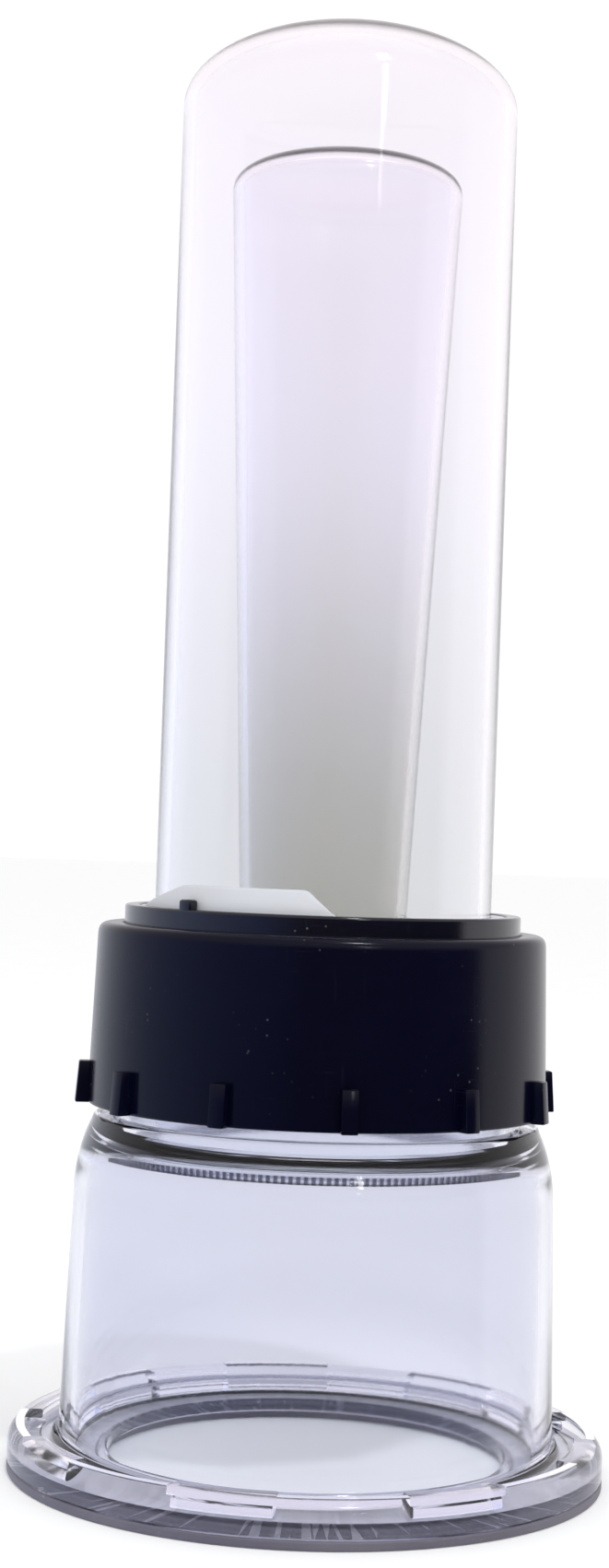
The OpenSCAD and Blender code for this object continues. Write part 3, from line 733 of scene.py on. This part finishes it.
def buildMouthRing():
    s = ringSizes
    rimR, foot, top = wide("bayonet_ring"), low("bayonet_ring"), high("bayonet_ring")
    angles, inPocket = castellated(s["pockets"], s["pocketAngle"], s["pocketTurn"], s["steps"])
    r, grooveFoot = s["rimRounding"], s["floorTop"] - s["grooveDepth"]
    shoulder = cornerArc(rimR - r, top - r, r, range(0, 91, 10))

    def section(angle):
        inner = s["pocketRadius"] if inPocket(angle) else s["hookRadius"]
        soft = 0.0 if inPocket(angle) else 0.2
        wall = [(inner + 0.25, top), (inner, top - 0.25), (inner, s["hookZ"] + soft),
                (inner + soft, s["hookZ"]), (s["pocketRadius"], s["hookZ"]),
                (s["pocketRadius"], s["floorTop"])]
        return ([(s["opening"] + 0.3, foot), (rimR - s["chamfer"], foot),
                 (rimR, foot + s["chamfer"])] + shoulder + wall
                + [(s["grooveOut"], s["floorTop"]), (s["grooveOut"], grooveFoot),
                   (s["grooveIn"], grooveFoot), (s["grooveIn"], s["floorTop"]),
                   (s["opening"] + 0.3, s["floorTop"]), (s["opening"], s["floorTop"] - 0.3),
                   (s["opening"], foot + 0.3)])
    piece = addPiece("mouthRing", sweptRing("mouthRingMesh", angles, section), ringFinish)
    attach(piece, "mouth")
    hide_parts("bayonet_ring")
    gasketR, gasketTop = wide("mouth_gasket"), high("mouth_gasket")
    mesh = turned("mouthGasketMesh", [(s["gasketOpening"], 0, 0.3), (gasketR, 0, 0.35),
                                      (gasketR, gasketTop, 0.25), (s["gasketOpening"], gasketTop, 0.2)])
    gasket = addPiece("mouthGasket", mesh, gasketFinish)
    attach(gasket, "mouth")
    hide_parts("mouth_gasket")


# the clamping collar, with its grip lugs
collarSizes = {"footRadius": 34.01, "topRadius": 33.21, "rounding": 1.8, "lipBore": 29.71,
               "threadBore": 31.21, "leadIn": 0.8, "lipThickness": 3.7, "lugWidth": 2.4,
               "lugHeight": 6.1, "lugReach": 1.85, "lugTopReach": 1.4, "lugRoot": 1.4,
               "lugs": 12, "firstLug": 7.5, "lugBevel": 0.22}


def buildCollar():
    s = collarSizes
    foot, top = low("clamp_collar"), high("clamp_collar")
    mesh = turned("collarBodyMesh", [
        (s["threadBore"] + s["leadIn"], foot, 0.2), (s["footRadius"], foot, 0.45),
        (s["topRadius"], top, s["rounding"]), (s["lipBore"], top, 0.35),
        (s["lipBore"], top - s["lipThickness"]), (s["threadBore"], top - s["lipThickness"]),
        (s["threadBore"], foot + s["leadIn"], 0.3)], steps=192, rounding=7)
    out, inside = s["footRadius"], s["threadBore"] + s["lugRoot"]
    lug = blockMesh("lugMesh", [(inside, foot), (out + s["lugReach"], foot),
                                (out + s["lugTopReach"], foot + s["lugHeight"]),
                                (inside, foot + s["lugHeight"])], s["lugWidth"], s["lugBevel"])
    lugs = runTree("collarLugs", lug, copiesTree, {
        "Copies": s["lugs"], "First Angle": s["firstLug"], "Step Angle": 360 / s["lugs"],
        "Material": collarFinish})
    piece = addPiece("clampCollar", joined("collarMesh", [mesh, lugs]), collarFinish)
    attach(piece, "collar")
    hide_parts("clamp_collar")


# the ferrule under the tube, with its index tooth
ferruleSizes = {"bossRadius": 29.41, "bossTop": 83.1, "flangeRadius": 30.91, "flangeHeight": 2.6,
                "seatRadius": 27.41, "seatZ": 79.7, "bore": 25.05,
                "ledgeRadius": 23.2, "ledgeHeight": 1.5,
                "toothTurn": -42.0, "toothWidth": 2.2, "toothHeight": 1.4,
                "toothInset": 0.1, "toothRoot": 1.0, "toothBevel": 0.4}


def buildFerrule():
    s = ferruleSizes
    foot, flange = low("tube_ferrule"), s["flangeRadius"]
    mesh = turned("ferruleBodyMesh", [
        (s["ledgeRadius"], foot, 0.2), (flange, foot, 0.3),
        (flange, foot + s["flangeHeight"], 0.3), (s["bossRadius"], foot + s["flangeHeight"], 0.2),
        (s["bossRadius"], s["bossTop"], 0.45), (s["seatRadius"], s["bossTop"], 0.35),
        (s["seatRadius"], s["seatZ"]), (s["bore"], s["seatZ"]),
        (s["bore"], foot + s["ledgeHeight"]), (s["ledgeRadius"], foot + s["ledgeHeight"], 0.2)],
        steps=192)
    inside, outside = s["seatRadius"] + s["toothInset"], s["bossRadius"] - s["toothInset"]
    root, tip = s["bossTop"] - s["toothRoot"], s["bossTop"] + s["toothHeight"]
    tooth = blockMesh("toothMesh", [(inside, root), (outside, root), (outside, tip), (inside, tip)],
                      s["toothWidth"], s["toothBevel"])
    placed = runTree("indexTooth", tooth, copiesTree, {
        "Copies": 1, "First Angle": s["toothTurn"], "Step Angle": 0.0,
        "Material": ferruleFinish})
    piece = addPiece("tubeFerrule", joined("ferruleMesh", [mesh, placed]), ferruleFinish)
    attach(piece, "tube")
    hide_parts("tube_ferrule")


# the white wedge ring with its raised tab
wedgeSizes = {"inner": 25.08, "bodyTop": 82.9, "tabMiddle": -35.5, "tabAngle": 79.0,
              "ramp": 28.0, "end": 9.0, "slit": 2.5, "edge": 0.35, "steps": 240}


def buildWedge():
    s = wedgeSizes
    foot, top = low("wedge_ring"), high("wedge_ring")
    outer = max(wide("wedge_ring"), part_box("wedge_ring")[1].y / mm)
    half = s["tabAngle"] / 2
    gap = math.degrees(s["slit"] / 2 / outer)
    start = s["tabMiddle"] + 180 + gap - 360
    angles = [start + (360 - 2 * gap) * i / s["steps"] for i in range(s["steps"] + 1)]

    def topAt(angle):
        off = (angle - s["tabMiddle"] + 180) % 360 - 180
        rampUp = min(1, max(0, (off + half) / s["ramp"]))
        rampDown = min(1, max(0, (half - off) / s["end"]))
        share = min(rampUp, rampDown)
        return s["bodyTop"] + (top - s["bodyTop"]) * share

    def section(angle):
        e = s["edge"]
        level = topAt(angle)
        return [(s["inner"] + 0.1, foot), (outer - 0.1, foot), (outer, foot + 0.1),
                (outer, level - e), (outer - 0.3 * e, level - 0.3 * e), (outer - e, level),
                (s["inner"] + e, level), (s["inner"] + 0.3 * e, level - 0.3 * e),
                (s["inner"], level - e), (s["inner"], foot + 0.1)]
    mesh = sweptRing("wedgeMesh", angles, section, closed=False)
    piece = addPiece("wedgeRing", mesh, whiteFinish)
    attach(piece, "wedge")
    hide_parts("wedge_ring")


# the retaining ring: plain barrel and finely serrated rim
retainerSizes = {"barrel": 27.51, "bore": 24.11, "rimFoot": 46.2, "rimTop": 47.6,
                 "serrations": 180, "depth": 0.5, "toothRoot": 0.2, "toothEdge": 0.1,
                 "toothFill": 0.96}


def buildRetainer():
    s = retainerSizes
    rim, top = wide("retaining_ring"), high("retaining_ring")
    root = rim - s["depth"]
    body = turned("retainerBodyMesh", [
        (s["bore"], s["rimFoot"], 0.3), (root, s["rimFoot"], 0.15), (root, s["rimTop"], 0.15),
        (s["barrel"], s["rimTop"]), (s["barrel"], top, 0.3), (s["bore"], top, 0.2)], steps=180)
    pitch = 360 / s["serrations"]
    half = math.tan(math.radians(pitch / 2)) * root * s["toothFill"]
    work = bmesh.new()
    footZ, topZ = (s["rimFoot"] + s["toothEdge"]) * mm, (s["rimTop"] - s["toothEdge"]) * mm
    base = root - s["toothRoot"]
    lower = [work.verts.new((x * mm, -r * mm, footZ))
             for x, r in ((-half, base), (half, base), (0, rim))]
    upper = [work.verts.new((v.co.x, v.co.y, topZ)) for v in lower]
    work.faces.new(lower)
    work.faces.new(upper[::-1])
    for k in range(3):
        work.faces.new([lower[k], lower[(k + 1) % 3], upper[(k + 1) % 3], upper[k]])
    tooth = closeMesh(work, "serrationMesh")
    teeth = runTree("serrations", tooth, copiesTree, {
        "Copies": s["serrations"], "First Angle": 0.0, "Step Angle": pitch,
        "Material": retainerFinish})
    piece = addPiece("retainingRing", joined("retainerMesh", [body, teeth]), retainerFinish)
    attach(piece, "retainer")
    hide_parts("retaining_ring")


# the strainer's screen: woven wires in a turned hem
strainerSizes = {"wire": 0.11, "spacing": 0.9, "clothInset": 0.3, "hemWidth": 1.6,
                 "hemInset": 0.02}


def buildStrainer():
    s = strainerSizes
    radius = wide("separator_screen")
    middle = (low("separator_screen") + high("separator_screen")) / 2
    cloth = runTree("screenWires", bpy.data.meshes.new("emptyMesh"), clothTree, {
        "Radius": (radius - s["clothInset"]) * mm, "Spacing": s["spacing"] * mm,
        "Wire Radius": s["wire"] / 2 * mm, "Height": middle * mm, "Material": steelFinish})
    hemFoot = low("separator_screen") + s["hemInset"]
    hemTop = high("separator_screen") - s["hemInset"]
    hemIn = radius - s["hemWidth"]
    hem = turned("screenHemMesh", [(hemIn, hemFoot, 0.05), (radius, hemFoot, 0.05),
                                   (radius, hemTop, 0.05), (hemIn, hemTop, 0.05)],
                 steps=120, rounding=2)
    piece = addPiece("separatorScreen", joined("screenMesh", [hem, cloth]), steelFinish)
    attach(piece, "strainer")
    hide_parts("separator_screen")


# parts that keep their CAD shape
keptFinishes = {"support_grid": strainerFinish, "screen_clamp_ring": strainerFinish,
                "strainer_gasket": sealFinish, "foot_seal": sealFinish, "neck_gasket": sealFinish,
                "vial_seat": seatFinish, "vial_grommet": sealFinish, "ferrule_gasket": sealFinish,
                "tube_oring": sealFinish, "slip_washer": washerFinish}


def finishKept():
    for node, finish in keptFinishes.items():
        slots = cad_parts[node].material_slots
        for one in slots:
            one.material = finish


# stage: floor, soft light and camera
cameraSizes = {"lens": 59.19, "sensor": 36.0, "distance": 384.7, "height": 95.0,
               "pitch": -1.0, "roll": 1.995, "pan": -0.509}
lightSizes = {"lampTurn": 24.0, "lampRise": 52.0, "lampFar": 750.0, "lampSize": 60.0,
              "lampPower": 1.6, "panelHeight": 1400.0, "panelSize": 1500.0, "panelPower": 1.0,
              "aimHeight": 100.0, "floorRadius": 6000.0, "floorDrop": 0.02, "bounces": 24}


def addCamera():
    s = cameraSizes
    data = bpy.data.cameras.new("viewCamera")
    data.lens, data.sensor_width = s["lens"], s["sensor"]
    data.clip_start, data.clip_end = 0.02, 50
    camera = bpy.data.objects.new("viewCamera", data)
    bpy.context.scene.collection.objects.link(camera)
    camera.matrix_world = (Matrix.Translation((0, -s["distance"] * mm, s["height"] * mm))
                           @ Matrix.Rotation(math.radians(-s["pan"]), 4, "Z")
                           @ Matrix.Rotation(math.radians(90 - s["pitch"]), 4, "X")
                           @ Matrix.Rotation(math.radians(s["roll"]), 4, "Z"))
    bpy.context.scene.camera = camera


def addLamp(name, place, size, power):
    data = bpy.data.lights.new(name, "AREA")
    data.shape, data.size, data.energy = "DISK", size * mm, power
    lamp = bpy.data.objects.new(name, data)
    bpy.context.scene.collection.objects.link(lamp)
    lamp.location = Vector(place) * mm
    aim = Vector((0, 0, lightSizes["aimHeight"])) * mm - lamp.location
    lamp.rotation_euler = aim.to_track_quat("-Z", "Y").to_euler()


def addStage():
    s = lightSizes
    work = bmesh.new()
    bmesh.ops.create_circle(work, cap_ends=True, segments=96, radius=s["floorRadius"] * mm,
                            matrix=Matrix.Translation((0, 0, -s["floorDrop"] * mm)))
    mesh = bpy.data.meshes.new("floorMesh")
    work.to_mesh(mesh)
    work.free()
    material, tree, shader, where = startMaterial("paleFloor")
    shade = mixColour(tree, noise(tree, where, 40.0, 4.0), (0.93, 0.93, 0.935), (0.9, 0.9, 0.905))
    tree.links.new(shade, shader.inputs["Base Color"])
    shader.inputs["Roughness"].default_value = 0.8
    shader.inputs["Specular IOR Level"].default_value = 0.1
    mesh.materials.append(material)
    floor = bpy.data.objects.new("floor", mesh)
    bpy.context.scene.collection.objects.link(floor)
    floor.visible_glossy = False
    a, e = math.radians(s["lampTurn"]), math.radians(s["lampRise"])
    far = s["lampFar"]
    addLamp("smallLamp", (far * math.sin(a) * math.cos(e), -far * math.cos(a) * math.cos(e),
                          s["aimHeight"] + far * math.sin(e)), s["lampSize"], s["lampPower"])
    addLamp("softPanel", (0, 0, s["panelHeight"]), s["panelSize"], s["panelPower"])


# the room in the mirrored light: share of a turn from the back by the left, and its colour
roomStops = [(0.0, (0.39, 0.39, 0.4)), (0.15, (0.45, 0.47, 0.55)), (0.27, (0.3, 0.36, 0.55)),
             (0.4, (0.12, 0.15, 0.3)), (0.475, (0.04, 0.036, 0.04)), (0.735, (0.02, 0.018, 0.02)),
             (0.75, (0.6, 0.58, 0.6)), (1.0, (0.39, 0.39, 0.4))]
worldSizes = {"plainStrength": 1.06, "roomStrength": 2.5, "skyFrom": 0.08, "skyTo": 0.42,
              "skyColour": (0.42, 0.4, 0.41), "stripTurn": 23.0, "stripWidth": 2.4, "stripLow": 18.0,
              "stripHigh": 26.0, "stripLight": 12.0}


def addWorld():
    # plain white to the eye and through clear parts; mirrored rays see a dim room instead
    s = worldSizes
    world = bpy.data.worlds.new("softRoom")
    bpy.context.scene.world = world
    world.use_nodes = True
    tree = world.node_tree
    tree.nodes.clear()
    out = tree.nodes.new("ShaderNodeOutputWorld")
    link = tree.links.new
    split = tree.nodes.new("ShaderNodeSeparateXYZ")
    link(tree.nodes.new("ShaderNodeTexCoord").outputs["Generated"], split.inputs[0])
    turn = mathNode(tree, "ARCTAN2", split.outputs["X"],
                    mathNode(tree, "MULTIPLY", split.outputs["Y"], -1.0))
    share = mathNode(tree, "ADD", mathNode(tree, "DIVIDE", turn, 2 * math.pi), 0.5)
    ramp = tree.nodes.new("ShaderNodeValToRGB")
    while len(ramp.color_ramp.elements) < len(roomStops):
        ramp.color_ramp.elements.new(0.5)
    for element, (place, colour) in zip(ramp.color_ramp.elements, roomStops):
        element.position, element.color = place, (*colour, 1)
    link(share, ramp.inputs[0])
    up = remap(tree, split.outputs["Z"], s["skyFrom"], s["skyTo"], smooth=True)
    room = mixColour(tree, up, ramp.outputs[0], s["skyColour"])
    lampTurn = mathNode(tree, "COMPARE", turn, math.radians(s["stripTurn"]))
    lampTurn.node.inputs[2].default_value = math.radians(s["stripWidth"] / 2)
    height = split.outputs["Z"]
    tall = mathNode(tree, "MULTIPLY",
                    mathNode(tree, "GREATER_THAN", height, math.sin(math.radians(s["stripLow"]))),
                    mathNode(tree, "LESS_THAN", height, math.sin(math.radians(s["stripHigh"]))))
    room = mixColour(tree, mathNode(tree, "MULTIPLY", lampTurn, tall), room,
                     (s["stripLight"],) * 3)
    paths = tree.nodes.new("ShaderNodeLightPath")
    mirrored = tree.nodes.new("ShaderNodeBackground")
    link(room, mirrored.inputs["Color"])
    mirrored.inputs["Strength"].default_value = s["roomStrength"]
    plain = tree.nodes.new("ShaderNodeBackground")
    plain.inputs["Color"].default_value = (1, 1, 1, 1)
    plain.inputs["Strength"].default_value = s["plainStrength"]
    blend = tree.nodes.new("ShaderNodeMixShader")
    link(paths.outputs["Is Glossy Ray"], blend.inputs[0])
    link(plain.outputs[0], blend.inputs[1])
    link(mirrored.outputs[0], blend.inputs[2])
    link(blend.outputs[0], out.inputs["Surface"])


bpy.context.scene.cycles.max_bounces = lightSizes["bounces"]
bpy.context.scene.cycles.transmission_bounces = lightSizes["bounces"]
addCamera()
addStage()
addWorld()
bpy.context.scene.view_settings.view_transform = "Standard"
print("stage, light and camera made")
copiesTree, clothTree = ringOfCopiesTree(), wireClothTree()
buildTube()
buildVial()
buildCup()
print("tube, vial and cup made")
buildMouthRing()
buildCollar()
buildFerrule()
buildWedge()
print("rings and collar made")
buildRetainer()
buildStrainer()
finishKept()
print("strainer made and CAD parts finished")
